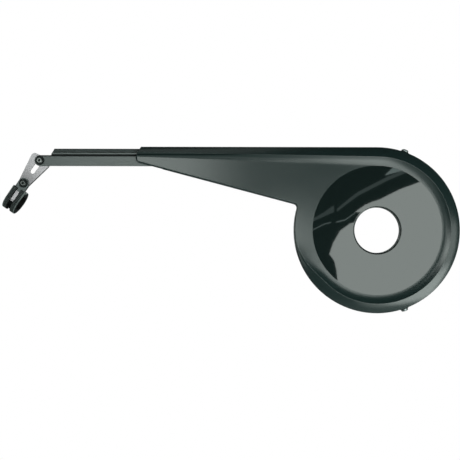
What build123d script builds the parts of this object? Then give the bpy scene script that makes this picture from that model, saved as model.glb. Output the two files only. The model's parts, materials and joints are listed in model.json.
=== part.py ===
from build123d import *
import os
from math import asin, cos, hypot, radians, sin

# A chain guard for a bicycle, in millimetres.
# The origin is on the crank axis, at the outer face of the disc.
# +X points to the front of the bicycle, +Y towards its frame, +Z up.

# Moulded guard: a dish round the crank and a tapering arm over the upper run of the chain
RING_RADIUS = 100.6
SLOPE_WIDTH = 12.0
SLOPE_BULGE = 0.5
SWEEP_WIDTH = 10.6
SWEEP_BEND = 0.5
LIP_HEIGHT = 3.2
SHOULDER_DEPTH = 3.0
INNER_LIP_SHARE = 0.9
RIM_DEPTH = 28.0
WALL = 2.0
SKIRT_DEPTH = 8.0
EDGE_ROUND = 2.0
HOLE_RADIUS = 27.5
HOLE_ROUND = 1.4
COLLAR_DEPTH = 8.0
ARM_ANGLE = 90.0
ARM_LENGTH = 291.9
ARM_END_HEIGHT = 18.6
ARM_END_SLOPE = 6.9
ARM_END_SWEEP = 5.5
ARM_END_LIP = 3.0
ARM_END_RIM = 16.0
ARM_END_SLANT = 6.2
ARM_END_CORNER = 5.0
ARM_ROOT_ANGLE = 162.5
ARM_ROOT_ROUND = 4.5
RAIL_MOUTH = 32.0

# The lip and the deep rim run down to the plain edge between these two angles
FADE_START = 260.0
FADE_END = 185.0
FADE_STEPS = 10
RIM_FADE_SHARE = 0.45
EDGE_START = 172.0
SEAM_TOLERANCE = 0.001

# Screws through the rim, for the bracket at the crank
RIM_SCREW_ANGLES = (70.0, -70.0)
RIM_SCREW_DEPTH = 9.5
RIM_SCREW_LENGTH = 18.0
RIM_SCREW_HEAD = 4.2

# Extension rail that slides behind the arm
RAIL_CLEARANCE = 0.3
RAIL_PLATE = 2.0
RAIL_DROP = 4.8
RAIL_BEAD_WIDTH = 6.9
RAIL_BEAD_HEIGHT = 2.2
RAIL_BEAD_BULGE = 0.85
RAIL_FACET_WIDTH = 1.5
RAIL_FACET_DROP = 0.1
RAIL_BEAD_SLANT = 3.7
RAIL_GROOVE_WIDTH = 2.6
RAIL_GROOVE_DEPTH = 1.1
RAIL_REACH = 99.3
RAIL_OVERLAP = 107.9
RAIL_TAB_LENGTH = 17.4
RAIL_TAB_DROP = 8.0
RAIL_TAB_HOLE = 6.6
RAIL_SLOT_HEIGHT = 8.0
RAIL_SLOT_CLEARANCE = 0.3
RAIL_EXTEND = 20.0
RAIL_RETRACT = 38.0

# Bosses on the arm that pass through the rail's slot, with a screw in each
BOSS_RADIUS = 3.2
BOSS_INSET = 75.9
BOSS_PITCH = 30.0
BOSS_PROUD = 0.2
LOCK_SCREW_RADIUS = 2.0
LOCK_SCREW_LENGTH = 6.5
LOCK_HEAD_RADIUS = 3.8
LOCK_HEAD_HEIGHT = 2.4
LOCK_WASHER_RADIUS = 6.0

# Slotted link between the rail and the frame clamp
LINK_PITCH = 34.1
LINK_ANGLE = 54.1
LINK_SHEET = 2.0
LINK_REACH = 39.6
LINK_HALF_WIDTH = 13.6
LINK_END_RADIUS = 7.0
LINK_CORNER = 5.0
LINK_SLOT_WIDTH = 5.8
LINK_SLOT_TRAVEL = 16.0
LINK_GAP = 0.1

# Clamp for the frame tube: a metal band with a rubber lining
CLAMP_ANGLE = 56.0
CLAMP_OFFSET = 23.7
CLAMP_BORE = 9.2
LINING = 2.3
LINING_GAP = 0.05
BAND_SHEET = 1.5
BAND_WIDTH = 13.4
BAND_GAP = 0.05
RUBBER_WIDTH = 16.6
RUBBER_LIP = 5.9
RUBBER_COVER = 1.9
RUBBER_START = -26.0
RUBBER_RELIEF = 0.5
RUBBER_TOP = 8.0
FRONT_TANGENT = 270.0

# Fasteners of thread size M5
SCREW_RADIUS = 2.5
SCREW_CLEARANCE = 0.1
HEAD_RADIUS = 3.5
HEAD_HEIGHT = 2.7
HEAD_CHAMFER = 0.8
SOCKET_WIDTH = 3.0
SOCKET_DEPTH = 1.7
WASHER_RADIUS = 5.4
WASHER_THICKNESS = 1.0
NUT_WIDTH = 8.0
NUT_HEIGHT = 4.0
NUT_CHAMFER = 0.5
SHANK_CHAMFER = 0.4
THREAD_END = 1.2

# Radii of the dish and heights of the arm's end that follow from the ring
CREST_RADIUS = RING_RADIUS - SLOPE_WIDTH
DISC_RADIUS = CREST_RADIUS - SWEEP_WIDTH
ARM_END_CREST = RING_RADIUS - ARM_END_SLOPE
ARM_END_FLAT = ARM_END_CREST - ARM_END_SWEEP
ARM_END_LOW = RING_RADIUS - ARM_END_HEIGHT

# Heights and ends of the rail, which fills the arm's mouth
RAIL_TOP = RING_RADIUS - WALL - RAIL_CLEARANCE
RAIL_LOW = ARM_END_LOW - RAIL_DROP
RAIL_BEAD_LOW = RAIL_TOP - RAIL_BEAD_WIDTH
RAIL_TAB_TOP = RAIL_TOP - RAIL_TAB_DROP
RAIL_SLOT_Z = RAIL_LOW + RAIL_SLOT_HEIGHT
RAIL_BEAD_END = ARM_LENGTH + RAIL_REACH
RAIL_INNER_END = ARM_LENGTH - RAIL_OVERLAP
BOSS_X = BOSS_INSET - ARM_LENGTH

# Depths behind the disc's face that follow from the stack of sheets
RAIL_FRONT = WALL + RAIL_CLEARANCE
RAIL_FACE = RAIL_FRONT + RAIL_BEAD_HEIGHT
RAIL_BACK = RAIL_FACE + RAIL_PLATE
LINK_FRONT = RAIL_BACK + LINK_GAP
LINK_BACK = LINK_FRONT + LINK_SHEET
EAR_FRONT = LINK_FRONT - BAND_GAP - BAND_SHEET
REAR_EAR_FRONT = LINK_BACK + BAND_GAP
REAR_EAR_BACK = REAR_EAR_FRONT + BAND_SHEET
BOSS_BACK = RAIL_BACK + BOSS_PROUD

LINK_SCREW_X = -RAIL_BEAD_END - RAIL_TAB_LENGTH
LINK_SCREW_Z = RAIL_LOW + RAIL_TAB_HOLE
LINK_DIRECTION = (cos(radians(LINK_ANGLE)), sin(radians(LINK_ANGLE)))
CLAMP_SCREW_X = LINK_SCREW_X - LINK_PITCH * LINK_DIRECTION[0]
CLAMP_SCREW_Z = LINK_SCREW_Z - LINK_PITCH * LINK_DIRECTION[1]


def slab(sketch, front, back):
    """Solid between two depths behind the disc's face, from a sketch in X and Z."""
    return extrude(Plane.XZ.offset(-front) * sketch, amount=front - back)


def rod(radius, front, back, x=0.0, z=0.0):
    """Round bar along Y."""
    return slab(Pos(x, z) * Circle(radius), front, back)


def ring_plane(angle, x=0.0):
    """Plane whose own x runs outwards at an angle on the ring and whose own y is the depth."""
    outwards = (cos(radians(angle)), 0, sin(radians(angle)))
    normal = (-sin(radians(angle)), 0, cos(radians(angle)))
    return Plane(origin=(x, 0, 0), x_dir=outwards, z_dir=normal)


def mix(start, end, share):
    return start + (end - start) * share


def eased(share):
    """Share between 0 and 1 with a soft start and end."""
    share = min(1.0, max(0.0, share))
    return share * share * (3.0 - 2.0 * share)


def lip_section(flat, crest, lip, shoulder, bulge, depth):
    """Thin wall of the lip: a hollow sweep up to its crest, the slope down to the shoulder, and the rim."""
    bend = mix(flat, crest, SWEEP_BEND)
    inside = RING_RADIUS - WALL
    inner_crest = (crest - WALL / 2, WALL - INNER_LIP_SHARE * lip)
    inner_shoulder = (inside, shoulder + WALL / 2)
    edges = [
        Bezier((flat, 0), (bend, 0), (crest, -lip)),
        SagittaArc((crest, -lip), (RING_RADIUS, shoulder), -bulge),
        Line((RING_RADIUS, shoulder), (RING_RADIUS, depth)),
        Line((RING_RADIUS, depth), (inside, depth)),
        Line((inside, depth), inner_shoulder),
        SagittaArc(inner_shoulder, inner_crest, bulge / 2),
        Bezier(inner_crest, (bend, WALL), (flat, WALL)),
        Line((flat, WALL), (flat, 0)),
    ]
    return Face(Wire(edges))


def full_section():
    return lip_section(DISC_RADIUS, CREST_RADIUS, LIP_HEIGHT, SHOULDER_DEPTH, SLOPE_BULGE, RIM_DEPTH)


def fade_section(share):
    """Section between the full lip (0) and the plain rounded edge (1)."""
    rim = eased(share / RIM_FADE_SHARE)
    lip = eased((share - RIM_FADE_SHARE) / (1.0 - RIM_FADE_SHARE))
    quarter_bulge = EDGE_ROUND * (1.0 - cos(radians(45.0)))
    return lip_section(
        DISC_RADIUS,
        mix(CREST_RADIUS, RING_RADIUS - EDGE_ROUND, lip),
        mix(LIP_HEIGHT, 0.0, lip),
        mix(SHOULDER_DEPTH, EDGE_ROUND, lip),
        mix(SLOPE_BULGE, quarter_bulge, lip),
        mix(RIM_DEPTH, SKIRT_DEPTH, rim),
    )


def arm_end_section():
    return lip_section(ARM_END_FLAT, ARM_END_CREST, ARM_END_LIP, SHOULDER_DEPTH, SLOPE_BULGE, ARM_END_RIM)


def on_ring(angle, radius=RING_RADIUS):
    return (radius * cos(radians(angle)), radius * sin(radians(angle)))


def nearest_vertex(sketch, point):
    return min(sketch.vertices(), key=lambda v: hypot(v.X - point[0], v.Y - point[1]))


def guard_outline(top, end_x):
    """Disc and arm as one flat outline, up to the height top at the arm's end."""
    root = on_ring(ARM_ROOT_ANGLE)
    fall = (ARM_END_LOW - root[1]) / (ARM_LENGTH + root[0])
    end_low = ARM_END_LOW + fall * (end_x - ARM_LENGTH)
    arm = Polygon((0, 0), (0, top[0]), (-end_x, top[1]), (-end_x, end_low), root, align=None)
    return arm, root, (-end_x, end_low)


def guard_plate():
    """Flat wall of disc and arm, with a skirt turned back along its free lower edge."""
    arm, root, corner = guard_outline((DISC_RADIUS, ARM_END_FLAT), ARM_LENGTH)
    reach = 2 * RING_RADIUS
    wedge = Polygon((0, 0), on_ring(ARM_ROOT_ANGLE, reach), on_ring(EDGE_START, reach), align=None)
    flat = Circle(DISC_RADIUS) + arm + (Circle(RING_RADIUS) & wedge)
    flat = fillet(nearest_vertex(flat, root), ARM_ROOT_ROUND)
    flat = fillet(nearest_vertex(flat, corner), ARM_END_CORNER)
    plate = slab(flat, 0, SKIRT_DEPTH)
    low = (mix(root[0], corner[0], 0.5), mix(root[1], corner[1], 0.5))
    front_edges = plate.edges().group_by(Axis.Y)[0]
    edge = min(front_edges, key=lambda e: hypot(e.center().X - low[0], e.center().Z - low[1]))
    plate = fillet(edge, EDGE_ROUND)

    inner, inner_root, _ = guard_outline((RING_RADIUS, RING_RADIUS), ARM_LENGTH + RAIL_MOUTH)
    hollow = Circle(RING_RADIUS) + inner
    hollow = fillet(nearest_vertex(hollow, inner_root), ARM_ROOT_ROUND)
    hollow = offset(hollow, -WALL)
    mouth_low = Pos(-ARM_LENGTH, RAIL_LOW) * Rectangle(2 * RAIL_MOUTH, RING_RADIUS - ARM_END_LOW)
    return plate - slab(hollow + mouth_low, WALL, SKIRT_DEPTH)


def guard_lips():
    """Raised lip and rim: round the dish, along the top of the arm and faded out below it."""
    turn = 360.0 + ARM_ANGLE - FADE_START
    round_lip = revolve(ring_plane(ARM_ANGLE) * full_section(), Axis.Y, turn)
    shares = [step / FADE_STEPS for step in range(FADE_STEPS + 1)]
    fade = loft([ring_plane(mix(FADE_START, FADE_END, s)) * fade_section(s) for s in shares])
    edge = revolve(ring_plane(FADE_END) * fade_section(1.0), Axis.Y, FADE_END - EDGE_START)
    arm_end = ring_plane(ARM_ANGLE, -ARM_LENGTH) * arm_end_section()
    along_arm = loft([ring_plane(ARM_ANGLE) * full_section(), arm_end])
    return round_lip + along_arm + fade + edge


def arm_end_cut():
    """Wedge that slants the end of the arm's lip."""
    reach = LIP_HEIGHT + RIM_DEPTH
    wedge = Polygon(
        (-ARM_LENGTH, ARM_END_FLAT),
        (ARM_END_SLANT - ARM_LENGTH, RING_RADIUS),
        (ARM_END_SLANT - ARM_LENGTH, RING_RADIUS + WALL),
        (-ARM_LENGTH - WALL, RING_RADIUS + WALL),
        (-ARM_LENGTH - WALL, ARM_END_FLAT),
        align=None,
    )
    return slab(wedge, -reach, reach)


def boss_places():
    return [(BOSS_X - step * BOSS_PITCH, RAIL_SLOT_Z) for step in range(2)]


def crank_hole():
    """Hole for the crank, with its front edge rounded over."""
    flare = HOLE_RADIUS + HOLE_ROUND
    outline = Polyline(
        (flare, 0),
        (flare, -LIP_HEIGHT),
        (0, -LIP_HEIGHT),
        (0, RIM_DEPTH),
        (HOLE_RADIUS, RIM_DEPTH),
        (HOLE_RADIUS, HOLE_ROUND),
    )
    outline += RadiusArc((HOLE_RADIUS, HOLE_ROUND), (flare, 0), HOLE_ROUND)
    return revolve(make_face(outline), Axis.Y)


def guard_body():
    body = guard_plate().solid().fuse(guard_lips().solid(), tol=SEAM_TOLERANCE) - arm_end_cut()
    body += rod(HOLE_RADIUS + WALL, 0, COLLAR_DEPTH)
    for x, z in boss_places():
        body += rod(BOSS_RADIUS, WALL / 2, BOSS_BACK, x, z)
    body -= crank_hole()
    for x, z in boss_places():
        body -= rod(LOCK_SCREW_RADIUS, lock_screw_tip(), BOSS_BACK, x, z)
    for angle in RIM_SCREW_ANGLES:
        body -= rim_seat(angle) * Cylinder(SCREW_RADIUS + SCREW_CLEARANCE, 3 * WALL)
    return body


def rim_seat(angle):
    """Plane on the rim's outer face, with its normal pointing at the crank axis."""
    x, z = on_ring(angle)
    return Plane(origin=(x, RIM_SCREW_DEPTH, z), x_dir=(0, 1, 0), z_dir=(-x, 0, -z))


def facing_back(x, y, z):
    """Plane with its normal along +Y, for a screw that is put in from the front."""
    return Plane(origin=(x, y, z), x_dir=(1, 0, 0), z_dir=(0, 1, 0))


def facing_front(x, y, z):
    """Plane with its normal along -Y, for a screw that is put in from behind."""
    return Plane(origin=(x, y, z), x_dir=(1, 0, 0), z_dir=(0, -1, 0))


def screw(length, radius=SCREW_RADIUS, head_radius=HEAD_RADIUS, head_height=HEAD_HEIGHT):
    """Button-head screw with a hexagon socket: the head is below z = 0, the shank above it."""
    head = Pos(0, 0, -head_height / 2) * Cylinder(head_radius, head_height)
    head = chamfer(head.edges().group_by(Axis.Z)[0], HEAD_CHAMFER)
    shank = Pos(0, 0, length / 2) * Cylinder(radius, length)
    shank = chamfer(shank.edges().group_by(Axis.Z)[-1], SHANK_CHAMFER)
    socket = RegularPolygon(SOCKET_WIDTH / 2, 6, major_radius=False)
    return head + shank - extrude(Pos(0, 0, -head_height) * socket, amount=SOCKET_DEPTH)


def washer(radius=WASHER_RADIUS, bore=SCREW_RADIUS + SCREW_CLEARANCE):
    """Flat washer that stands on z = 0."""
    return extrude(Circle(radius) - Circle(bore), amount=WASHER_THICKNESS)


def nut():
    """Hexagon nut that stands on z = 0, with its corners turned off."""
    hexagon = extrude(RegularPolygon(NUT_WIDTH / 2, 6, major_radius=False), amount=NUT_HEIGHT)
    corner = NUT_WIDTH / (2 * cos(radians(30.0)))
    cone = chamfer(extrude(Circle(corner), amount=NUT_HEIGHT).edges().group_by(Axis.Z)[-1], NUT_CHAMFER)
    return (hexagon & cone) - extrude(Circle(SCREW_RADIUS + SCREW_CLEARANCE / 2), amount=NUT_HEIGHT)


def rim_screws():
    return [
        rim_seat(angle).offset(-WASHER_THICKNESS) * screw(RIM_SCREW_LENGTH, head_radius=RIM_SCREW_HEAD)
        for angle in RIM_SCREW_ANGLES
    ]


def rim_washers():
    return [rim_seat(angle).offset(-WASHER_THICKNESS) * washer() for angle in RIM_SCREW_ANGLES]


def rim_nuts():
    """Nuts inside the rim, set in by the hollow of the rim under their corners."""
    inside = RING_RADIUS - WALL
    corner = NUT_WIDTH / (2 * cos(radians(30.0)))
    inset = RING_RADIUS - inside * cos(asin(corner / inside))
    return [rim_seat(angle).offset(inset) * nut() for angle in RIM_SCREW_ANGLES]


def rail_section():
    """Rail in (Z, Y): a flat plate with a groove and a bead along its top."""
    groove = RAIL_BEAD_LOW - RAIL_GROOVE_WIDTH
    crest = RAIL_BEAD_LOW + RAIL_FACET_WIDTH
    bead_top = RAIL_FACE + RAIL_GROOVE_DEPTH
    outline = Polyline(
        (RAIL_TOP, bead_top),
        (RAIL_TOP, RAIL_BACK),
        (RAIL_LOW, RAIL_BACK),
        (RAIL_LOW, RAIL_FACE),
        (groove, RAIL_FACE),
        (groove + RAIL_GROOVE_WIDTH / 2, RAIL_FACE + RAIL_GROOVE_DEPTH),
        (RAIL_BEAD_LOW, RAIL_FRONT + RAIL_FACET_DROP),
        (crest, RAIL_FRONT),
    )
    outline += SagittaArc((crest, RAIL_FRONT), (RAIL_TOP, bead_top), RAIL_BEAD_BULGE)
    return make_face(outline)


def extension_rail():
    tab_radius = (RAIL_TAB_TOP - RAIL_LOW) / 2
    tab_z = RAIL_LOW + tab_radius
    bead_foot = -RAIL_BEAD_END - RAIL_BEAD_SLANT
    section = Plane(origin=(bead_foot, 0, 0), x_dir=(0, 0, 1), z_dir=(-1, 0, 0)) * rail_section()
    rail = extrude(section, amount=bead_foot + RAIL_INNER_END)
    rise = RAIL_TOP - RAIL_TAB_TOP
    rail -= slab(
        Polygon(
            (bead_foot, RAIL_TAB_TOP),
            (-RAIL_BEAD_END, RAIL_TOP),
            (-RAIL_BEAD_END, RAIL_TOP + rise),
            (bead_foot, RAIL_TOP + rise),
            align=None,
        ),
        0,
        RAIL_BACK,
    )
    tab_length = bead_foot - LINK_SCREW_X
    tab = Pos(LINK_SCREW_X + tab_length / 2, tab_z) * Rectangle(tab_length, 2 * tab_radius)
    tab += Pos(LINK_SCREW_X, tab_z) * Circle(tab_radius)
    rail += slab(tab, RAIL_FACE, RAIL_BACK)
    half = BOSS_RADIUS + RAIL_SLOT_CLEARANCE
    slot_right = BOSS_X + RAIL_EXTEND + RAIL_SLOT_CLEARANCE
    slot_left = BOSS_X - BOSS_PITCH - RAIL_RETRACT - RAIL_SLOT_CLEARANCE
    slot = SlotCenterToCenter(slot_right - slot_left, 2 * half)
    rail -= slab(Pos((slot_left + slot_right) / 2, RAIL_SLOT_Z) * slot, 0, RAIL_BACK)
    return rail - rod(SCREW_RADIUS + SCREW_CLEARANCE, 0, RAIL_BACK, LINK_SCREW_X, LINK_SCREW_Z)


def lock_screw_tip():
    return BOSS_BACK + WASHER_THICKNESS - LOCK_SCREW_LENGTH


def rail_lock_screws():
    head_seat = BOSS_BACK + WASHER_THICKNESS
    return [
        facing_front(x, head_seat, z)
        * screw(LOCK_SCREW_LENGTH, LOCK_SCREW_RADIUS, LOCK_HEAD_RADIUS, LOCK_HEAD_HEIGHT)
        for x, z in boss_places()
    ]


def rail_lock_washers():
    bore = LOCK_SCREW_RADIUS + SCREW_CLEARANCE
    return [facing_back(x, BOSS_BACK, z) * washer(LOCK_WASHER_RADIUS, bore) for x, z in boss_places()]


def link_outline():
    """Fan-shaped plate: its own x runs from the clamp screw towards the link screw."""
    side = LINK_REACH * cos(asin(LINK_HALF_WIDTH / LINK_REACH))
    outline = ThreePointArc((0, LINK_END_RADIUS), (-LINK_END_RADIUS, 0), (0, -LINK_END_RADIUS))
    outline += Line((0, -LINK_END_RADIUS), (side, -LINK_HALF_WIDTH))
    outline += ThreePointArc((side, -LINK_HALF_WIDTH), (LINK_REACH, 0), (side, LINK_HALF_WIDTH))
    outline += Line((side, LINK_HALF_WIDTH), (0, LINK_END_RADIUS))
    plate = make_face(outline)
    for sign in (-1, 1):
        plate = fillet(nearest_vertex(plate, (side, sign * LINK_HALF_WIDTH)), LINK_CORNER)
    return plate


def slotted_link():
    slot_centre = LINK_PITCH - LINK_SLOT_TRAVEL / 2
    plate = link_outline() - Circle(SCREW_RADIUS + SCREW_CLEARANCE)
    plate -= Pos(slot_centre, 0) * SlotCenterToCenter(LINK_SLOT_TRAVEL, LINK_SLOT_WIDTH)
    return slab(Pos(CLAMP_SCREW_X, CLAMP_SCREW_Z) * Rot(0, 0, LINK_ANGLE) * plate, LINK_FRONT, LINK_BACK)


def link_seat(y):
    return facing_back(LINK_SCREW_X, y, LINK_SCREW_Z)


def link_screw():
    head_seat = RAIL_FACE - WASHER_THICKNESS
    length = LINK_BACK + LINK_GAP + WASHER_THICKNESS + NUT_HEIGHT + THREAD_END - head_seat
    return link_seat(head_seat) * screw(length)


def link_front_washer():
    return link_seat(RAIL_FACE - WASHER_THICKNESS) * washer()


def link_rear_washer():
    return link_seat(LINK_BACK + LINK_GAP) * washer()


def link_nut():
    return link_seat(LINK_BACK + LINK_GAP + WASHER_THICKNESS) * nut()


def clamp_frame():
    """Plane at the clamp screw: own x towards the link, own y the depth, normal along the loop's axis."""
    towards = (cos(radians(CLAMP_ANGLE)), 0, sin(radians(CLAMP_ANGLE)))
    normal = (-sin(radians(CLAMP_ANGLE)), 0, cos(radians(CLAMP_ANGLE)))
    return Plane(origin=(CLAMP_SCREW_X, 0, CLAMP_SCREW_Z), x_dir=towards, z_dir=normal)


def band_radius():
    """Inner radius of the band's loop."""
    return CLAMP_BORE + LINING + LINING_GAP


def loop_centre():
    """Centre of the loop in the clamp's own plane: the front ear is tangent to it."""
    return (-CLAMP_OFFSET, EAR_FRONT + band_radius() + BAND_SHEET)


def clamp_band():
    """Strip bent into a loop, with an ear on each side of the link."""
    half = BAND_WIDTH / 2
    centre_x, centre_y = loop_centre()
    inner = band_radius()
    outer = inner + BAND_SHEET
    loop = Pos(centre_x, centre_y) * (Circle(outer) - Circle(inner))
    front_middle = EAR_FRONT + BAND_SHEET / 2
    front_ear = Pos((half + centre_x) / 2, front_middle) * Rectangle(half - centre_x, BAND_SHEET)
    drop = centre_y - REAR_EAR_BACK
    rear_start = centre_x + (outer**2 - drop**2) ** 0.5 - BAND_SHEET
    rear_middle = (REAR_EAR_FRONT + REAR_EAR_BACK) / 2
    rear_ear = Pos((half + rear_start) / 2, rear_middle) * Rectangle(half - rear_start, BAND_SHEET)
    gap_front = EAR_FRONT + BAND_SHEET
    gap_height = REAR_EAR_FRONT - gap_front
    gap = Pos((half + centre_x) / 2, gap_front + gap_height / 2) * Rectangle(half - centre_x, gap_height)
    strip = extrude(clamp_frame() * (loop + front_ear + rear_ear - gap), amount=half, both=True)
    far = CLAMP_OFFSET + outer + BAND_SHEET
    plan = Pos(-far / 2, 0) * Rectangle(far, BAND_WIDTH) + Circle(half)
    plan -= Circle(SCREW_RADIUS + SCREW_CLEARANCE)
    plan = Pos(CLAMP_SCREW_X, CLAMP_SCREW_Z) * Rot(0, 0, CLAMP_ANGLE) * plan
    return strip & slab(plan, 0, centre_y + 2 * outer)


def rubber_section(inner):
    """Channel round the band in (distance from the loop's axis, width), open between its two lips."""
    top = band_radius() + BAND_SHEET + LINING_GAP + RUBBER_COVER
    floor = CLAMP_BORE + LINING
    height = BAND_SHEET + 2 * LINING_GAP
    profile = Pos((inner + top) / 2, 0) * Rectangle(top - inner, RUBBER_WIDTH)
    profile -= Pos(floor + height / 2, 0) * Rectangle(height, BAND_WIDTH + 2 * LINING_GAP)
    recess = Rectangle(2 * RUBBER_COVER, RUBBER_WIDTH - 2 * RUBBER_LIP)
    return profile - Pos(floor + height + RUBBER_COVER, 0) * recess


def clamp_rubber():
    """Lining that wraps the band round the loop and up the front ear, with a bare strip between its lips."""
    radial = (cos(radians(RUBBER_START)), sin(radians(RUBBER_START)), 0)
    around = (sin(radians(RUBBER_START)), -cos(radians(RUBBER_START)), 0)
    loop_plane = Plane(origin=(0, 0, 0), x_dir=radial, z_dir=around)
    loop_section = loop_plane * rubber_section(CLAMP_BORE)
    lining = revolve(loop_section, Axis.Z, FRONT_TANGENT - RUBBER_START)
    ear_plane = Plane(origin=(0, 0, 0), x_dir=(0, -1, 0), z_dir=(1, 0, 0))
    ear_section = ear_plane * rubber_section(CLAMP_BORE + RUBBER_RELIEF)
    lining += extrude(ear_section, amount=CLAMP_OFFSET - RUBBER_TOP)
    return clamp_frame() * Pos(*loop_centre(), 0) * lining


def clamp_seat(y):
    return facing_back(CLAMP_SCREW_X, y, CLAMP_SCREW_Z)


def clamp_screw():
    head_seat = EAR_FRONT - WASHER_THICKNESS
    length = REAR_EAR_BACK + WASHER_THICKNESS + NUT_HEIGHT + THREAD_END - head_seat
    return clamp_seat(head_seat) * screw(length)


def clamp_front_washer():
    return clamp_seat(EAR_FRONT - WASHER_THICKNESS) * washer()


def clamp_rear_washer():
    return clamp_seat(REAR_EAR_BACK) * washer()


def clamp_nut():
    return clamp_seat(REAR_EAR_BACK + WASHER_THICKNESS) * nut()


NODES = (
    guard_body,
    rim_screws,
    rim_washers,
    rim_nuts,
    extension_rail,
    rail_lock_screws,
    rail_lock_washers,
    slotted_link,
    link_screw,
    link_front_washer,
    link_rear_washer,
    link_nut,
    clamp_band,
    clamp_rubber,
    clamp_screw,
    clamp_front_washer,
    clamp_rear_washer,
    clamp_nut,
)


def solids_of(shape):
    """Every solid of a part, or of a list of parts."""
    shapes = shape if isinstance(shape, list) else [shape]
    return [solid for each in shapes for solid in each.solids()]


os.makedirs("parts", exist_ok=True)
for node in NODES:
    solids = solids_of(node())
    export_step(solids[0] if len(solids) == 1 else Compound(solids), f"parts/{node.__name__}.step")
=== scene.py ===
import json
import math

import bpy
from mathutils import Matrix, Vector

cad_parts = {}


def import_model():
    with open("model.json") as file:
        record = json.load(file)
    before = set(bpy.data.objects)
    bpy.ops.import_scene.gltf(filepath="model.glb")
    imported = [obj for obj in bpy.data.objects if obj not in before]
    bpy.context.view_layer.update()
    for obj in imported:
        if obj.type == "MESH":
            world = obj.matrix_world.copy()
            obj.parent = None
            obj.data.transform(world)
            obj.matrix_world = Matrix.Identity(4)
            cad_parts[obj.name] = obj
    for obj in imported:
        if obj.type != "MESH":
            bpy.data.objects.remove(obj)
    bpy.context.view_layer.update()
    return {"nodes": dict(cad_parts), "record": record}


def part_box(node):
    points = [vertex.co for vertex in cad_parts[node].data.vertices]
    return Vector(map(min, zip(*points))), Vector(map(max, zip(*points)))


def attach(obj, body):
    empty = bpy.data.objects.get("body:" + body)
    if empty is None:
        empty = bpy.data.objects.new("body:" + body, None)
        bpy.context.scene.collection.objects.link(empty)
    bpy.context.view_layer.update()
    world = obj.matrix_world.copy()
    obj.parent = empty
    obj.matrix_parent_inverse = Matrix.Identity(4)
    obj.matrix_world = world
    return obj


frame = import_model()

# Photograph: scale and the crank axis in its 460 by 460 frame
PHOTO_PIXELS = 460
METRES_PER_PIXEL = 0.001207
CRANK_PIXEL = (377.35, 229.96)
CAMERA_DISTANCE = 0.95
CAMERA_ROLL = math.radians(-0.115)
SENSOR_WIDTH = 36.0

# Guard: the rounding of its edges and of the crease along its arm, its hole, and the polished disc
MOULD_EDGE = 0.0010
CREASE_ROUND = 0.0050
CREASE_HEIGHT = 0.0780
CREASE_TAPER = 0.0349
CREASE_LEFT = -0.200
CREASE_FADE = 0.030

# Fine dark line under the lip, on the outer part of the arm, is painted shade: a metallic share takes the
# shine off near-black
LINE_HEIGHT = 0.0908
LINE_HALF = 0.0011
LINE_START = -0.190
LINE_END = -0.140
LINE_SHADE = 0.75
HOLE_RADIUS = 0.0275
HOLE_EDGE = 0.0006
DISC_RADIUS = 0.0783
DISC_EDGE = 0.00035
FRONT_DEPTH = 0.0016

# Clamp: sizes of its rubber lining, and the ribs that cross its two lips
CLAMP_ANGLE = math.radians(56.0)
CLAMP_OFFSET = 0.0237
LIP_RADIUS = 0.01500
LIP_WIDTH = 0.0059
RUBBER_WIDTH = 0.0166
RUBBER_TOP = 0.0080
LIP_SHADE = 0.0014
RIM_HIGHLIGHT_WIDTH = 0.0006
RIM_START = 0.0138
RIM_END = 0.0146
RUBBER_START = math.radians(-26.0)
FRONT_TANGENT = math.radians(270.0)
BORE_RADIUS = 0.0092
BORE_EDGE = 0.0004
RIB_PITCH = 0.0017
RIB_WIDTH = 0.0009
RIB_SINK = 0.00025
CUT_EDGE = 0.0001
LINK_SIDE = 0.0070
LINK_TAPER = 0.1775
SIDE_EDGE = 0.0012
SIDE_SHADE = 0.75
SCREW_SHADOW_START = 0.006
SCREW_SHADOW_END = 0.026
BARE_START = 0.0115
BARE_END = 0.0255
BARE_EDGE = 0.0008

# Extension rail: its groove and its top edge, down from its top, which painted shade darkens
TOP_EDGE = 0.0024
GROOVE_START = 0.0071
GROOVE_END = 0.0092
GROOVE_EDGE = 0.0004

# Screws of size M5: socket of painted shade and painted highlight round it on the head, and the thread on the
# free end
SOCKET_RADIUS = 0.00165
SOCKET_EDGE = 0.0002
HIGHLIGHT_RADIUS = 0.0032
HIGHLIGHT_EDGE = 0.0008
THREAD_RADIUS = 0.0025
THREAD_PITCH = 0.0008
THREAD_RIDGE = 0.00022
THREAD_TIP = 0.0004

# Studio: cards and soft boxes on the camera's side, mirrored by the polished disc
CARD_DEPTH = -1.19
GLOW_DEPTH = 0.004
FLOOR_HEIGHT = -1.5
LIGHT_TINT = (0.915, 1.0, 0.957)

# Edge of the bright patch in the disc, in pixels of the photograph, from its upper right to its lower left
PATCH_EDGE = (
    (424, 180), (400, 188.8), (388, 194.8), (380, 199), (372, 201.5), (365, 204.6), (358, 209.5),
    (355, 212), (362, 211.8), (362, 214), (355, 222), (350, 223.2), (340, 230.6), (333, 243),
    (329.4, 253.7), (334.4, 261), (336.5, 270), (338, 284),
)
PATCH_SHADE = ((322, 276), (312, 256), (308, 238), (307, 222), (302, 206), (270, 130), (440, 130))

# Faint streaks in the dark half of the disc: pixels of their middle lines, and their heights there
LONG_STREAK = ((337, 210, 3), (350, 199.5, 4), (358, 193.5, 4), (388, 178, 4), (408, 170, 3))
UPPER_STREAK = ((385, 174.8, 0.5), (388, 173, 2.6), (394, 169.3, 6.6), (406, 165, 9))
LEFT_STREAK = ((310, 221.3, 3), (324, 214.2, 4.2), (330, 210.5, 6), (334, 208.5, 6.5))
THIN_STREAK = ((310, 231, 0.8), (324, 224, 0.8), (331, 222.2, 0.8))
SHORT_STREAK = ((336, 222, 0.8), (345, 219.8, 0.9), (350, 216.2, 0.8), (355, 212.5, 0.8))


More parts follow.
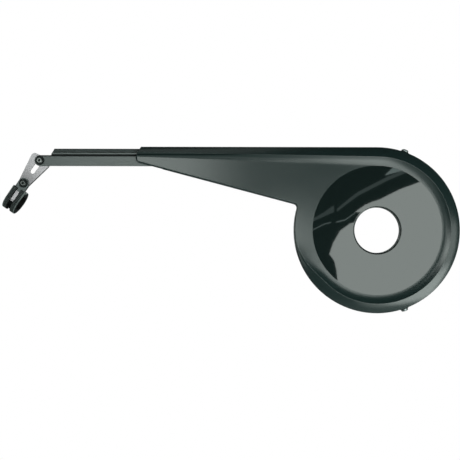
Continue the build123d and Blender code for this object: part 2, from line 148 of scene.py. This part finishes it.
class Shade:
    """A node socket that takes part in arithmetic: each operation adds a Math node to its tree."""

    def __init__(self, tree, socket=None):
        self.tree = tree
        self.socket = socket

    def node(self, kind, settings=(), sockets=(), output=0):
        """Adds any node: its settings come first, then the values or links of its sockets."""
        node = self.tree.nodes.new(kind)
        for name, value in dict(settings).items():
            if name == "stops":
                set_stops(node.color_ramp, value)
            else:
                setattr(node, name, value)
        for name, value in dict(sockets).items():
            if isinstance(value, Shade):
                self.tree.links.new(value.socket, node.inputs[name])
            else:
                node.inputs[name].default_value = value
        return Shade(self.tree, node.outputs[output] if len(node.outputs) else None)

    def math(self, operation, *values):
        return self.node("ShaderNodeMath", {"operation": operation}, dict(enumerate(values)))

    def __add__(self, other):
        return self.math("ADD", self, other)

    def __sub__(self, other):
        return self.math("SUBTRACT", self, other)

    def __rsub__(self, other):
        return self.math("SUBTRACT", other, self)

    def __mul__(self, other):
        return self.math("MULTIPLY", self, other)

    __radd__ = __add__
    __rmul__ = __mul__

    def root(self):
        return self.math("SQRT", self)

    def magnitude(self):
        return self.math("ABSOLUTE", self)

    def rising(self, low, high):
        """0 below low, 1 above high, smooth between them."""
        limits = {"Value": self, "From Min": low, "From Max": high, "To Min": 0.0, "To Max": 1.0}
        return self.node("ShaderNodeMapRange", {"interpolation_type": "SMOOTHSTEP"}, limits)


def set_stops(ramp, stops):
    """Gives a colour ramp its stops, as pairs of place and colour."""
    while len(ramp.elements) < len(stops):
        ramp.elements.new(1.0)
    for element, (place, colour) in zip(ramp.elements, stops):
        element.position = place
        element.color = colour


def new_material(name):
    """An empty material, with the start of its tree."""
    material = bpy.data.materials.new(name)
    material.use_nodes = True
    material.node_tree.nodes.clear()
    return material, Shade(material.node_tree)


def close_material(tree, **sockets):
    """Ends a material's tree in a Principled shader; underscores in a name stand for spaces."""
    named = {name.replace("_", " "): value for name, value in sockets.items()}
    shader = tree.node("ShaderNodeBsdfPrincipled", {}, named)
    tree.node("ShaderNodeOutputMaterial", {}, {"Surface": shader})


def object_place(tree):
    return tree.node("ShaderNodeTexCoord", output="Object")


def split(vector):
    """X, Y and Z of a vector."""
    node = vector.tree.nodes.new("ShaderNodeSeparateXYZ")
    vector.tree.links.new(vector.socket, node.inputs[0])
    return [Shade(vector.tree, socket) for socket in node.outputs]


def noise(place, scale, detail=2.0, roughness=0.5):
    sockets = {"Vector": place, "Scale": scale, "Detail": detail, "Roughness": roughness}
    return place.node("ShaderNodeTexNoise", {}, sockets, "Fac")


def stretched(place, scale):
    """Place with each axis scaled by itself, for a pattern with a direction."""
    return place.node("ShaderNodeMapping", {}, {"Vector": place, "Scale": scale})


def tinted(value, dark, light):
    """Colour between two tones by a value from 0 to 1."""
    stops = [(0.0, (*dark, 1.0)), (1.0, (*light, 1.0))]
    return value.node("ShaderNodeValToRGB", {"stops": stops}, {"Fac": value}, "Color")


def blended(share, colour, other):
    """Mix of a colour and a plain tone by a share from 0 to 1."""
    sockets = {"Factor": share, 6: colour, 7: (*other, 1.0)}
    return share.node("ShaderNodeMix", {"data_type": "RGBA"}, sockets, 2)


def bumped(height, strength, distance, normal=None):
    """Normal with fine relief, on a plain face or on a normal that is given."""
    sockets = {"Strength": strength, "Distance": distance, "Height": height}
    if normal:
        sockets["Normal"] = normal
    return height.node("ShaderNodeBump", {}, sockets, "Normal")


def rounded(place, radius):
    """Normal that looks rounded over to a radius at sharp edges."""
    return place.node("ShaderNodeBevel", {"samples": 8}, {"Radius": radius}, "Normal")


def joint_place(name):
    joint = next(each for each in frame["record"]["behaviour"]["joints"] if each["name"] == name)
    return Vector(joint["pos_m"])


def mount_place(name):
    mount = next(each for each in frame["record"]["mounts"] if each["name"] == name)
    return Vector(mount["pos_m"])


def guard_plastic():
    """Black moulding: fine satin grain, a mirror finish on the front of the disc, and painted light that
    makes the wall of its hole paler.
    """
    material, tree = new_material("guard_plastic_satin")
    place = object_place(tree)
    x, y, z = split(place)
    radius = (x * x + z * z).root()
    disc = 1.0 - radius.rising(DISC_RADIUS - DISC_EDGE, DISC_RADIUS)
    front = 1.0 - y.rising(FRONT_DEPTH, FRONT_DEPTH + DISC_EDGE)
    polished = disc * front
    grain = noise(place, 2600.0, 3.0)
    cloud = noise(place, 14.0, 2.0)
    satin = 0.20 + grain * 0.04 + cloud * 0.03
    roughness = satin * (1.0 - polished) + polished * 0.022
    moulded = tinted(cloud, (0.0042, 0.0112, 0.0107), (0.0060, 0.0136, 0.0130))
    skin = blended(polished, moulded, (0.0050, 0.0086, 0.0082))
    # Painted light: the wall of the hole and its rounded lip are coloured paler than the moulding.
    painted_light_wall = 1.0 - radius.rising(HOLE_RADIUS, HOLE_RADIUS + HOLE_EDGE)
    off_crease = (z + x * CREASE_TAPER - CREASE_HEIGHT).magnitude().rising(CREASE_ROUND / 2, CREASE_ROUND)
    on_arm = x.rising(CREASE_LEFT, CREASE_LEFT + CREASE_FADE) * (1.0 - x.rising(-CREASE_FADE, 0.0))
    soft = (1.0 - off_crease) * on_arm
    sockets = {"Factor": soft, 4: rounded(place, MOULD_EDGE), 5: rounded(place, CREASE_ROUND)}
    normal = place.node("ShaderNodeMix", {"data_type": "VECTOR"}, sockets, 1)
    # Painted shade: a fine dark line under the arm's lip, made by a metallic share
    line = 1.0 - (z - LINE_HEIGHT).magnitude().rising(LINE_HALF / 3, LINE_HALF)
    painted_shade = line * (1.0 - x.rising(LINE_START, LINE_END)) * LINE_SHADE
    close_material(
        tree,
        Base_Color=blended(painted_light_wall, skin, (0.060, 0.068, 0.066)),
        Roughness=roughness,
        Metallic=painted_shade,
        Specular_IOR_Level=0.5,
        Normal=bumped(grain * (1.0 - polished), 0.10, 0.00012, normal),
    )
    return material


def rail_paint():
    """Satin black paint on the extension rail, with painted shade that darkens its groove and its top against
    its flats.
    """
    material, tree = new_material("rail_satin_paint")
    place = object_place(tree)
    x, y, z = split(place)
    low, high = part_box("extension_rail")
    # Painted shade: the groove and the top edge get a near-black tone and more roughness than the flats.
    drop = high.z - z
    above = 1.0 - drop.rising(GROOVE_START - GROOVE_EDGE, GROOVE_START)
    below = drop.rising(GROOVE_END, GROOVE_END + GROOVE_EDGE)
    clear_of_painted_shade = drop.rising(0.0, TOP_EDGE) * (above + below)
    grain = noise(stretched(place, (40.0, 1500.0, 1500.0)), 1.0, 2.0)
    cloud = noise(place, 30.0)
    close_material(
        tree,
        Base_Color=tinted(clear_of_painted_shade * (0.85 + cloud * 0.15), (0.003, 0.005, 0.005), (0.042, 0.053, 0.052)),
        Roughness=0.30 + grain * 0.08 + (1.0 - clear_of_painted_shade) * 0.35,
        Normal=bumped(grain, 0.08, 0.0001),
    )
    return material


def bare_steel(name, light):
    """Tumbled steel: pale and dull, a little cloudy."""
    material, tree = new_material(name)
    place = object_place(tree)
    cloud = noise(place, 220.0, 2.0)
    dark = tuple(0.86 * tone for tone in light)
    close_material(
        tree,
        Base_Color=tinted(cloud, dark, light),
        Metallic=1.0,
        Roughness=0.36 + cloud * 0.10,
    )
    return material


def link_steel():
    """Tumbled steel of the link: dark at its cut edges, with painted shade along its right side and a painted
    shadow round the clamp screw.
    """
    material, tree = new_material("link_tumbled_steel")
    place = object_place(tree)
    x, y, z = split(place)
    low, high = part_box("slotted_link")
    half = (high.y - low.y) / 2
    face = (y - (low.y + half)).magnitude().rising(half - 2 * CUT_EDGE, half - CUT_EDGE)
    screw = joint_place("clamp_pivot")
    across = x - screw.x
    up = z - screw.z
    # Painted shadow: the steel darkens towards the clamp screw.
    clear_of_screw_shadow = (across * across + up * up).root().rising(SCREW_SHADOW_START, SCREW_SHADOW_END)
    axis = joint_place("link_pivot") - screw
    axis.normalize()
    along = across * axis.x + up * axis.z
    # Painted shade: a thin dark line along the link's right side.
    right = across * axis.z - up * axis.x - along * LINK_TAPER
    side = right.rising(LINK_SIDE - SIDE_EDGE, LINK_SIDE - SIDE_EDGE / 2)
    cloud = noise(place, 220.0, 2.0)
    bright = face * (0.50 + clear_of_screw_shadow * 0.40 + cloud * 0.10) * (1.0 - side * SIDE_SHADE)
    close_material(
        tree,
        Base_Color=tinted(bright, (0.030, 0.030, 0.030), (0.378, 0.356, 0.374)),
        Metallic=1.0,
        Roughness=0.36 + cloud * 0.10,
    )
    return material


def band_steel():
    """Blackened band of the clamp, bare where it lies open between the lips of the rubber, and painted
    near-black below the bare strip as shade where it curves away.
    """
    material, tree = new_material("band_worn_steel")
    place = object_place(tree)
    x, y, z = split(place)
    screw = joint_place("clamp_pivot")
    along = (screw.x - x) * math.cos(CLAMP_ANGLE) + (screw.z - z) * math.sin(CLAMP_ANGLE)
    # Painted shade: below the bare strip, where the band curves away, it is coloured near-black.
    below = along.rising(BARE_END, BARE_END + BARE_EDGE)
    bare = along.rising(BARE_START, BARE_START + BARE_EDGE) * (1.0 - below)
    cloud = noise(place, 300.0, 2.0)
    steel = tinted(bare * (0.86 + cloud * 0.14), (0.090, 0.100, 0.100), (0.425, 0.397, 0.415))
    close_material(
        tree,
        Base_Color=blended(below, steel, (0.004, 0.005, 0.005)),
        Metallic=1.0,
        Roughness=0.36 + cloud * 0.10,
    )
    return material


def black_steel(name, tone, roughness):
    """Blackened steel of the screws and their washers."""
    material, tree = new_material(name)
    place = object_place(tree)
    cloud = noise(place, 700.0, 3.0)
    light = tuple(1.5 * part for part in tone)
    close_material(
        tree,
        Base_Color=tinted(cloud, tone, light),
        Metallic=0.85,
        Roughness=roughness + cloud * 0.12,
        Normal=bumped(cloud, 0.1, 0.00005),
    )
    return material


def screw_head(name, centre, light):
    """Black head of a screw along Y: its socket is painted shade, with a paler painted highlight round it."""
    material, tree = new_material(name)
    place = object_place(tree)
    x, y, z = split(place)
    across = x - centre.x
    up = z - centre.z
    radius = (across * across + up * up).root()
    # Painted shade in the socket and a painted highlight on the crown round it.
    outside = radius.rising(SOCKET_RADIUS - SOCKET_EDGE, SOCKET_RADIUS)
    painted_highlight = 1.0 - radius.rising(HIGHLIGHT_RADIUS - HIGHLIGHT_EDGE, HIGHLIGHT_RADIUS)
    wear = noise(place, 900.0, 3.0)
    close_material(
        tree,
        Base_Color=tinted(outside * (0.3 + painted_highlight * 0.5 + wear * 0.2), (0.002, 0.003, 0.003), light),
        Metallic=0.85,
        Roughness=0.30 + wear * 0.12,
    )
    return material


def clamp_rubber(name, light):
    """Dull black rubber, with painted shade in the loop and beside the bare strip, and a painted highlight
    along its outer edges.
    """
    material, tree = new_material(name)
    place = object_place(tree)
    x, y, z = split(place)
    centre = mount_place("chainstay_clamp")
    along = (x - centre.x) * math.cos(CLAMP_ANGLE) + (z - centre.z) * math.sin(CLAMP_ANGLE)
    depth = y - centre.y
    radius = (along * along + depth * depth).root()
    # Painted shade: black inside the loop, and darker on the inner part of each lip beside the bare strip.
    outside = radius.rising(BORE_RADIUS + BORE_EDGE, BORE_RADIUS + 2 * BORE_EDGE)
    across = ((x - centre.x) * math.sin(CLAMP_ANGLE) - (z - centre.z) * math.cos(CLAMP_ANGLE)).magnitude()
    half = RUBBER_WIDTH / 2
    lip = across.rising(half - LIP_WIDTH, half - LIP_WIDTH + LIP_SHADE)
    # Painted highlight: a paler line along the outer edges of the lips.
    edge = across.rising(half - 2 * RIM_HIGHLIGHT_WIDTH, half - RIM_HIGHLIGHT_WIDTH) * radius.rising(RIM_START, RIM_END)
    grain = noise(place, 1800.0, 3.0)
    colour = tinted(outside * (0.6 + grain * 0.4) * (0.2 + lip * 0.8), (0.001, 0.001, 0.001), light)
    close_material(
        tree,
        Base_Color=blended(edge, colour, (0.100, 0.116, 0.112)),
        Roughness=0.56 + grain * 0.14,
        Specular_IOR_Level=0.2,
        Normal=bumped(grain, 0.2, 0.0001),
    )
    return material


class NodeTree:
    """A Geometry Nodes tree with named inputs, made step by step."""

    def __init__(self, name):
        self.group = bpy.data.node_groups.new(name, "GeometryNodeTree")
        self.values = {}
        self.inputs = self.group.nodes.new("NodeGroupInput")
        self.group.interface.new_socket("Geometry", in_out="OUTPUT", socket_type="NodeSocketGeometry")

    def size(self, name, value, kind="NodeSocketFloat"):
        """Adds a named input and returns its socket."""
        item = self.group.interface.new_socket(name, in_out="INPUT", socket_type=kind)
        self.values[item.identifier] = value
        return self.inputs.outputs[name]

    def add(self, kind, settings=(), sockets=(), output=0):
        """Adds a node: settings first, then the values or links of its sockets."""
        node = self.group.nodes.new(kind)
        for name, value in dict(settings).items():
            setattr(node, name, value)
        for name, value in dict(sockets).items():
            if isinstance(value, bpy.types.NodeSocket):
                self.group.links.new(value, node.inputs[name])
            elif isinstance(value, list):
                for each in value:
                    self.group.links.new(each, node.inputs[name])
            else:
                node.inputs[name].default_value = value
        return node.outputs[output]

    def divide(self, top, bottom):
        return self.add("ShaderNodeMath", {"operation": "DIVIDE"}, {0: top, 1: bottom})

    def mesh(self, name, geometry, material):
        """Ends the tree and turns its result into a plain mesh object."""
        solid = self.add("GeometryNodeRealizeInstances", {}, {0: geometry})
        dressed = self.add("GeometryNodeSetMaterial", {}, {"Geometry": solid, "Material": material})
        end = self.group.nodes.new("NodeGroupOutput")
        self.group.links.new(dressed, end.inputs[0])
        carrier = bpy.data.objects.new(name + "_tree", bpy.data.meshes.new(name + "_tree"))
        bpy.context.scene.collection.objects.link(carrier)
        modifier = carrier.modifiers.new("tree", "NODES")
        modifier.node_group = self.group
        for identifier, value in self.values.items():
            modifier[identifier] = value
        evaluated = carrier.evaluated_get(bpy.context.evaluated_depsgraph_get())
        mesh = bpy.data.meshes.new_from_object(evaluated)
        mesh.name = name
        carrier.modifiers.clear()
        bpy.data.objects.remove(carrier)
        piece = bpy.data.objects.new(name, mesh)
        bpy.context.scene.collection.objects.link(piece)
        return piece


def clamp_ribs(material):
    """Fine ribs across both lips of the rubber: down the front ear and round the loop."""
    tree = NodeTree("clamp_ribs")
    radius = tree.size("Loop Radius", LIP_RADIUS - RIB_SINK)
    straight = tree.size("Ear Length", CLAMP_OFFSET - RUBBER_TOP - RIB_PITCH)
    pitch = tree.size("Pitch", RIB_PITCH)
    width = tree.size("Rib Width", RIB_WIDTH)
    length = tree.size("Rib Length", LIP_WIDTH - RIB_WIDTH)
    lip = tree.size("Lip Place", (RUBBER_WIDTH - LIP_WIDTH) / 2)
    front = tree.add("ShaderNodeMath", {"operation": "MULTIPLY"}, {0: radius, 1: -1.0})
    start = tree.add("ShaderNodeCombineXYZ", {}, {"X": straight, "Y": front})
    end = tree.add("ShaderNodeCombineXYZ", {}, {"Y": front})
    ear = tree.add("GeometryNodeCurvePrimitiveLine", {}, {"Start": start, "End": end})
    arc_sockets = {
        "Resolution": 96,
        "Radius": radius,
        "Start Angle": RUBBER_START,
        "Sweep Angle": FRONT_TANGENT - RUBBER_START,
    }
    arc = tree.add("GeometryNodeCurveArc", {"mode": "RADIUS"}, arc_sockets)
    path = tree.add("GeometryNodeJoinGeometry", {}, {0: [arc, ear]})
    points = tree.group.nodes.new("GeometryNodeCurveToPoints")
    points.mode = "LENGTH"
    tree.group.links.new(path, points.inputs["Curve"])
    tree.group.links.new(pitch, points.inputs["Length"])
    bar_radius = tree.divide(width, 2.0)
    bar_sockets = {"Vertices": 8, "Radius": bar_radius, "Depth": length}
    bar = tree.add("GeometryNodeMeshCylinder", {}, bar_sockets)
    ribs = tree.add("GeometryNodeInstanceOnPoints", {}, {"Points": points.outputs["Points"], "Instance": bar})
    sides = []
    for sign in (-1.0, 1.0):
        place = tree.add("ShaderNodeMath", {"operation": "MULTIPLY"}, {0: lip, 1: sign})
        shift = tree.add("ShaderNodeCombineXYZ", {}, {"Z": place})
        sides.append(tree.add("GeometryNodeTransform", {}, {"Geometry": ribs, "Translation": shift}))
    both = tree.add("GeometryNodeJoinGeometry", {}, {0: sides})
    loop = tuple(mount_place("chainstay_clamp"))
    turned = {"Geometry": both, "Translation": loop, "Rotation": (0.0, -CLAMP_ANGLE, 0.0)}
    piece = tree.mesh("clamp_ribs", tree.add("GeometryNodeTransform", {}, turned), material)
    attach(piece, "clamp")


def thread(name, body, ends, material):
    """Thread on the free ends of a body's screws; each end is a start, a direction and a length."""
    tree = NodeTree(name)
    radius = tree.size("Radius", THREAD_RADIUS - THREAD_RIDGE / 2)
    pitch = tree.size("Pitch", THREAD_PITCH)
    ridge = tree.size("Ridge", THREAD_RIDGE)
    profile_sockets = {"Resolution": 4, "Radius": ridge}
    profile = tree.add("GeometryNodeCurvePrimitiveCircle", {"mode": "RADIUS"}, profile_sockets)
    turns = []
    for start, direction, length in ends:
        spiral_sockets = {
            "Resolution": 24,
            "Rotations": tree.divide(length, pitch),
            "Start Radius": radius,
            "End Radius": radius,
            "Height": length,
        }
        spiral = tree.add("GeometryNodeCurveSpiral", {}, spiral_sockets)
        ridges = tree.add(
            "GeometryNodeCurveToMesh", {}, {"Curve": spiral, "Profile Curve": profile, "Fill Caps": True}
        )
        turn = direction.to_track_quat("Z", "Y").to_euler()
        place = {"Geometry": ridges, "Translation": tuple(start), "Rotation": tuple(turn)}
        turns.append(tree.add("GeometryNodeTransform", {}, place))
    piece = tree.mesh(name, tree.add("GeometryNodeJoinGeometry", {}, {0: turns}), material)
    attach(piece, body)


def rear_end(screw, nut):
    """Free end of a screw along Y: what stands out behind its nut."""
    low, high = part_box(screw)
    start = Vector(((low.x + high.x) / 2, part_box(nut)[1].y, (low.z + high.z) / 2))
    return start, Vector((0.0, 1.0, 0.0)), high.y - start.y - THREAD_TIP


def rim_end(name):
    """Free end of a screw through the rim, from the mount that states it."""
    mount = next(each for each in frame["record"]["mounts"] if each["name"] == name)
    length = mount["dims"]["length_mm"] / 1000.0
    axis = Vector(mount["axis"])
    return Vector(mount["pos_m"]) - axis * (length / 2), axis, length


def screw_threads(material):
    thread("rim_threads", "guard", [rim_end("rim_screw_upper"), rim_end("rim_screw_lower")], material)
    thread("link_thread", "pivot", [rear_end("link_screw", "link_nut")], material)
    thread("clamp_thread", "clamp", [rear_end("clamp_screw", "clamp_nut")], material)


def on_photo(pixel):
    """Place in the plane of the disc's face that a pixel of the photograph shows."""
    return (
        (pixel[0] - CRANK_PIXEL[0]) * METRES_PER_PIXEL,
        (CRANK_PIXEL[1] - pixel[1]) * METRES_PER_PIXEL,
    )


def mirrored(pixel, depth=CARD_DEPTH):
    """Place on a card in front of the disc that the disc mirrors at a pixel of the photograph."""
    x, z = on_photo(pixel)
    eye_x, eye_z = on_photo((PHOTO_PIXELS / 2, PHOTO_PIXELS / 2))
    reach = -depth / CAMERA_DISTANCE
    return (x + reach * (x - eye_x), depth, z + reach * (z - eye_z))


def card(name, corners, material):
    """Flat card of the studio that only mirrors and lights can meet."""
    mesh = bpy.data.meshes.new(name)
    mesh.from_pydata(corners, [], [tuple(range(len(corners)))])
    mesh.materials.append(material)
    board = bpy.data.objects.new(name, mesh)
    board.visible_camera = False
    bpy.context.scene.collection.objects.link(board)


def black_card():
    material, tree = new_material("black_card")
    black = tree.node("ShaderNodeBsdfDiffuse", {}, {"Color": (0.004, 0.005, 0.005, 1.0)})
    tree.node("ShaderNodeOutputMaterial", {}, {"Surface": black})
    return material


def glow(name, radiance):
    material, tree = new_material(name)
    light = tree.node("ShaderNodeEmission", {}, {"Color": (0.80, 1.0, 0.97, 1.0), "Strength": radiance})
    tree.node("ShaderNodeOutputMaterial", {}, {"Surface": light})
    return material


def streak(name, line, radiance):
    """Dim strip of light that the dark half of the disc mirrors, along a line of pixels."""
    upper = [mirrored((x, y - height / 2), CARD_DEPTH + GLOW_DEPTH) for x, y, height in line]
    lower = [mirrored((x, y + height / 2), CARD_DEPTH + GLOW_DEPTH) for x, y, height in line]
    card(name, upper + lower[::-1], glow(name, radiance))


def disc_reflection():
    """What the disc mirrors: a bright patch below a dark card, and faint streaks on the card."""
    card("dark_card", [mirrored(pixel) for pixel in PATCH_EDGE + PATCH_SHADE], black_card())
    streak("long_streak", LONG_STREAK, 0.8)
    streak("upper_streak", UPPER_STREAK, 2.8)
    streak("left_streak", LEFT_STREAK, 0.75)
    streak("thin_streak", THIN_STREAK, 2.4)
    streak("short_streak", SHORT_STREAK, 2.8)


def camera():
    """Camera square to the disc, at the middle of the photograph, with its slight roll."""
    middle = PHOTO_PIXELS / 2
    data = bpy.data.cameras.new("camera")
    data.sensor_width = SENSOR_WIDTH
    data.lens = SENSOR_WIDTH * CAMERA_DISTANCE / (PHOTO_PIXELS * METRES_PER_PIXEL)
    eye = bpy.data.objects.new("camera", data)
    x, z = on_photo((middle, middle))
    eye.location = (x, -CAMERA_DISTANCE, z)
    eye.rotation_euler = (math.radians(90.0), CAMERA_ROLL, 0.0)
    bpy.context.scene.collection.objects.link(eye)
    bpy.context.scene.camera = eye


def soft_box(name, place, aim, size, radiance, spread=179.9):
    """Area light of a given radiance that faces a point; a grid on it can narrow its spread, in degrees."""
    half = math.radians(spread / 2)
    light = bpy.data.lights.new(name, "AREA")
    light.shape = "RECTANGLE"
    light.color = LIGHT_TINT
    light.size, light.size_y = size
    light.spread = 2 * half
    light.energy = radiance * math.pi * size[0] * size[1] * (1.0 - half / math.tan(half))
    lamp = bpy.data.objects.new(name, light)
    lamp.location = place
    lamp.rotation_euler = (Vector(aim) - Vector(place)).to_track_quat("-Z", "Y").to_euler()
    lamp.visible_camera = False
    bpy.context.scene.collection.objects.link(lamp)


def lights():
    """Soft boxes in front of the guard and to its sides, and two behind it."""
    soft_box("key_box", (0.51, -1.2, 0.0), (0.51, 0.0, 0.0), size=(0.88, 0.40), radiance=5.35)
    soft_box("low_key_box", (0.51, -1.2, -0.58), (0.51, 0.0, -0.58), size=(0.88, 0.76), radiance=5.35)
    soft_box("low_left_box", (-0.22, -1.2, -0.60), (-0.22, 0.0, -0.60), size=(0.58, 0.70), radiance=0.7)
    soft_box("left_box", (-0.47, -1.2, 0.165), (-0.37, 0, 0.08), size=(0.51, 0.39), radiance=6.8, spread=60)
    soft_box("crest_box", (-0.7, -1.2, 0.27), (0.12, 0, -0.05), size=(0.4, 0.9), radiance=10.0, spread=26)
    soft_box("middle_strip", (-0.08, -0.6, -0.07), (-0.085, 0.0, -0.06), size=(0.07, 0.20),
             radiance=11.6, spread=28)
    soft_box("arm_strip", (-0.06, -0.6, 0.150), (-0.06, 0.0, 0.09), size=(0.10, 0.07), radiance=1.1)
    soft_box("low_right_box", (0.71, -0.56, -0.65), (0.05, 0.0, -0.05), size=(0.88, 0.60), radiance=6.2)
    soft_box("low_front_box", (0.20, -0.85, -0.95), (0.0, 0.0, -0.09), size=(0.40, 0.40), radiance=1.6)
    soft_box("right_box", (1.00, -0.52, -0.12), (0.08, 0.0, 0.0), size=(0.50, 0.45), radiance=2.7)
    soft_box("high_left_box", (-0.36, -0.32, 0.90), (-0.30, 0.0, 0.09), size=(0.55, 0.55), radiance=0.6)
    soft_box("left_side_box", (-0.90, -0.50, -0.30), (-0.10, 0.0, -0.03), size=(0.50, 0.50), radiance=1.7)
    soft_box("back_high_box", (-0.10, 1.10, 1.00), (-0.10, 0.0, 0.0), size=(1.60, 0.70), radiance=5.0)
    soft_box("back_left_box", (-1.00, 1.10, 0.10), (-0.30, 0.0, 0.05), size=(0.70, 0.80), radiance=3.0)


def world():
    """White for the camera; a dim grey room for the light."""
    scene = bpy.context.scene
    scene.world = bpy.data.worlds.new("studio")
    scene.world.use_nodes = True
    scene.world.node_tree.nodes.clear()
    tree = Shade(scene.world.node_tree)
    seen = tree.node("ShaderNodeLightPath", output="Is Camera Ray")
    room = tree.node("ShaderNodeBackground", {}, {"Color": (0.9, 1.0, 0.98, 1.0), "Strength": 0.07})
    white = tree.node("ShaderNodeBackground", {}, {"Color": (1.0, 1.0, 1.0, 1.0), "Strength": 1.0})
    mixed = tree.node("ShaderNodeMixShader", {}, {"Fac": seen, 1: room, 2: white})
    tree.node("ShaderNodeOutputWorld", {}, {"Surface": mixed})


def floor():
    """Pale floor well below the guard, white to the camera."""
    material, tree = new_material("pale_floor")
    seen = tree.node("ShaderNodeLightPath", output="Is Camera Ray")
    pale = tree.node("ShaderNodeBsdfDiffuse", {}, {"Color": (0.8, 0.8, 0.8, 1.0)})
    white = tree.node("ShaderNodeEmission", {}, {"Color": (1.0, 1.0, 1.0, 1.0), "Strength": 1.0})
    mixed = tree.node("ShaderNodeMixShader", {}, {"Fac": seen, 1: pale, 2: white})
    tree.node("ShaderNodeOutputMaterial", {}, {"Surface": mixed})
    mesh = bpy.data.meshes.new("floor")
    half = 4.0
    corners = [(-half, -half), (half, -half), (half, half), (-half, half)]
    mesh.from_pydata([(x, y, FLOOR_HEIGHT) for x, y in corners], [], [(0, 1, 2, 3)])
    mesh.materials.append(material)
    plane = bpy.data.objects.new("floor", mesh)
    bpy.context.scene.collection.objects.link(plane)


def dress_nodes():
    """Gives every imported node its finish."""
    zinc = bare_steel("nut_zinc", (0.50, 0.52, 0.51))
    rubber = clamp_rubber("lining_black_rubber", (0.004, 0.006, 0.006))
    # The ribs get a paler copy of the lining's rubber: painted light on the ribs.
    lit_rib_rubber = clamp_rubber("rib_painted_light_rubber", (0.058, 0.070, 0.067))
    head = black_steel("screw_head_black", (0.13, 0.145, 0.145), 0.20)
    washer = black_steel("washer_black", (0.008, 0.010, 0.010), 0.42)
    finishes = {
        "guard_body": guard_plastic(),
        "extension_rail": rail_paint(),
        "slotted_link": link_steel(),
        "clamp_band": band_steel(),
        "clamp_rubber": rubber,
    }
    # The link screw's painted highlight is brighter than the clamp screw's: lit and shaded copies of one
    # finish.
    finishes["link_screw"] = screw_head("link_screw_painted_highlight", joint_place("link_pivot"), (0.19, 0.20, 0.196))
    finishes["clamp_screw"] = screw_head("clamp_screw_painted_highlight", joint_place("clamp_pivot"), (0.095, 0.103, 0.10))
    for node in ("rim_screws", "rail_lock_screws"):
        finishes[node] = head
    for node in ("rim_washers", "link_front_washer", "clamp_front_washer"):
        finishes[node] = washer
    for node in ("rim_nuts", "rail_lock_washers", "link_rear_washer", "link_nut"):
        finishes[node] = zinc
    for node in ("clamp_rear_washer", "clamp_nut"):
        finishes[node] = zinc
    for node, material in finishes.items():
        slots = frame["nodes"][node].data.materials
        slots.clear()
        slots.append(material)
    clamp_ribs(lit_rib_rubber)
    screw_threads(head)


dress_nodes()
camera()
world()
floor()
disc_reflection()
lights()
bpy.context.scene.view_settings.view_transform = "Standard"
